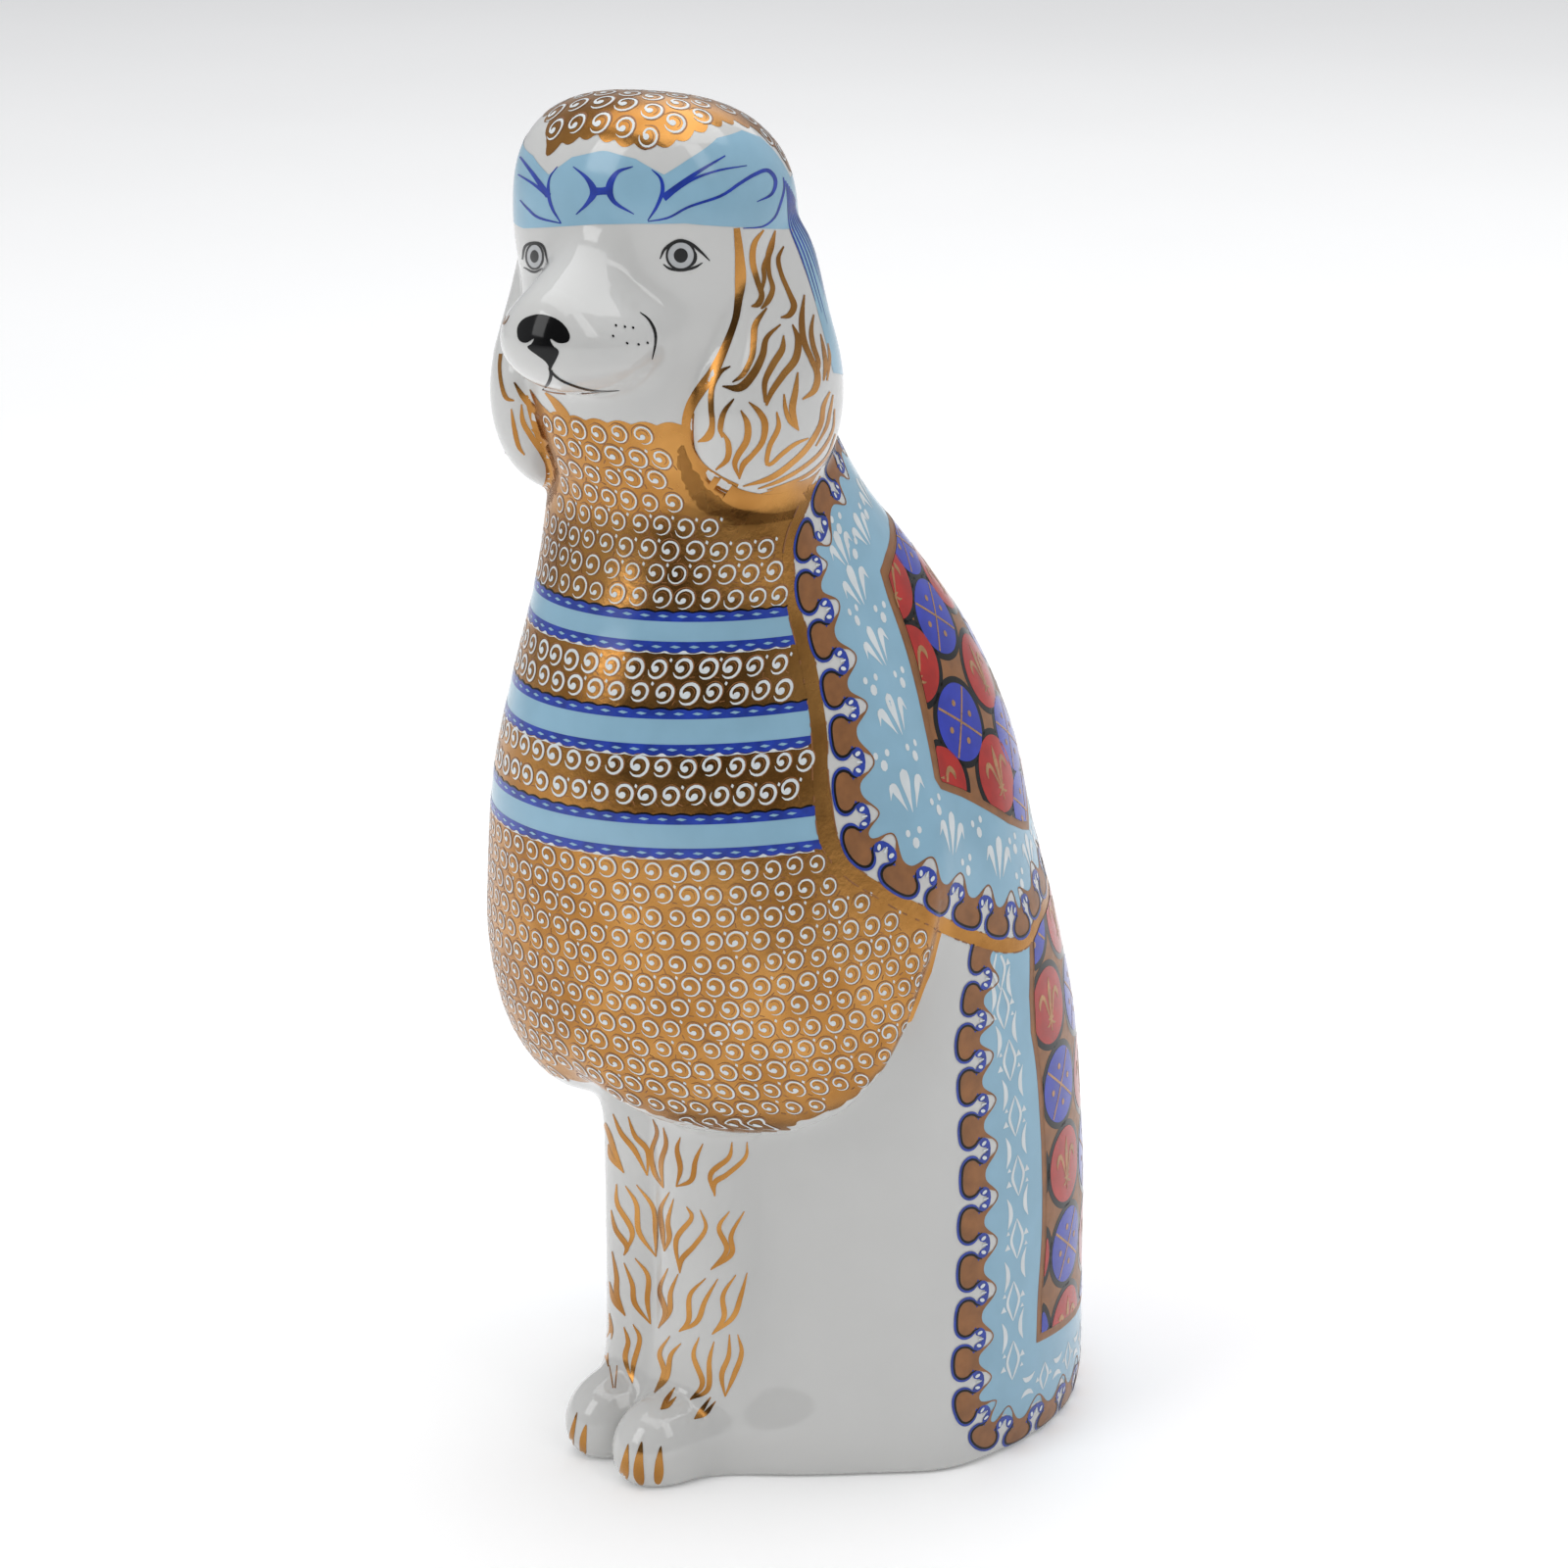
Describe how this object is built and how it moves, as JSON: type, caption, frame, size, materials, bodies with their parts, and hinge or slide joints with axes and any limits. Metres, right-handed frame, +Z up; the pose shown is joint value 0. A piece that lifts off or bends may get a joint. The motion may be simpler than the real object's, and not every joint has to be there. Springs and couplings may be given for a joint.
{
  "type": "ceramic dog figurine",
  "caption": "Seated poodle figurine in glazed bone china with enamelled cape and headband and a gilded curly chest; stands on a flat foot ring.",
  "frame": {"origin": "middle of the outline, on the plane that the foot ring and the paws stand on", "axes": "+Z up; the dog's chest and paws look along -Y; its own left side is +X"},
  "size_m": [0.084, 0.1158, 0.225],
  "materials": {
    "glazed_china": "clear gloss glaze",
    "bare_china": "unglazed, matt",
    "burnished_gold": "burnished gold on the glaze",
    "light_blue_enamel": "gloss on-glaze enamel",
    "cobalt_enamel": "gloss on-glaze enamel",
    "red_enamel": "gloss on-glaze enamel",
    "brown_enamel": "gloss on-glaze enamel",
    "black_enamel": "gloss on-glaze enamel",
    "white_enamel": "gloss on-glaze enamel"
  },
  "bodies": {
    "root": {"body_casting": "glazed_china", "head_casting": "glazed_china", "left_ear": "glazed_china", "right_ear": "glazed_china", "left_foreleg": "glazed_china", "right_foreleg": "glazed_china", "base_floor": "bare_china"}
  },
  "joints": []
}
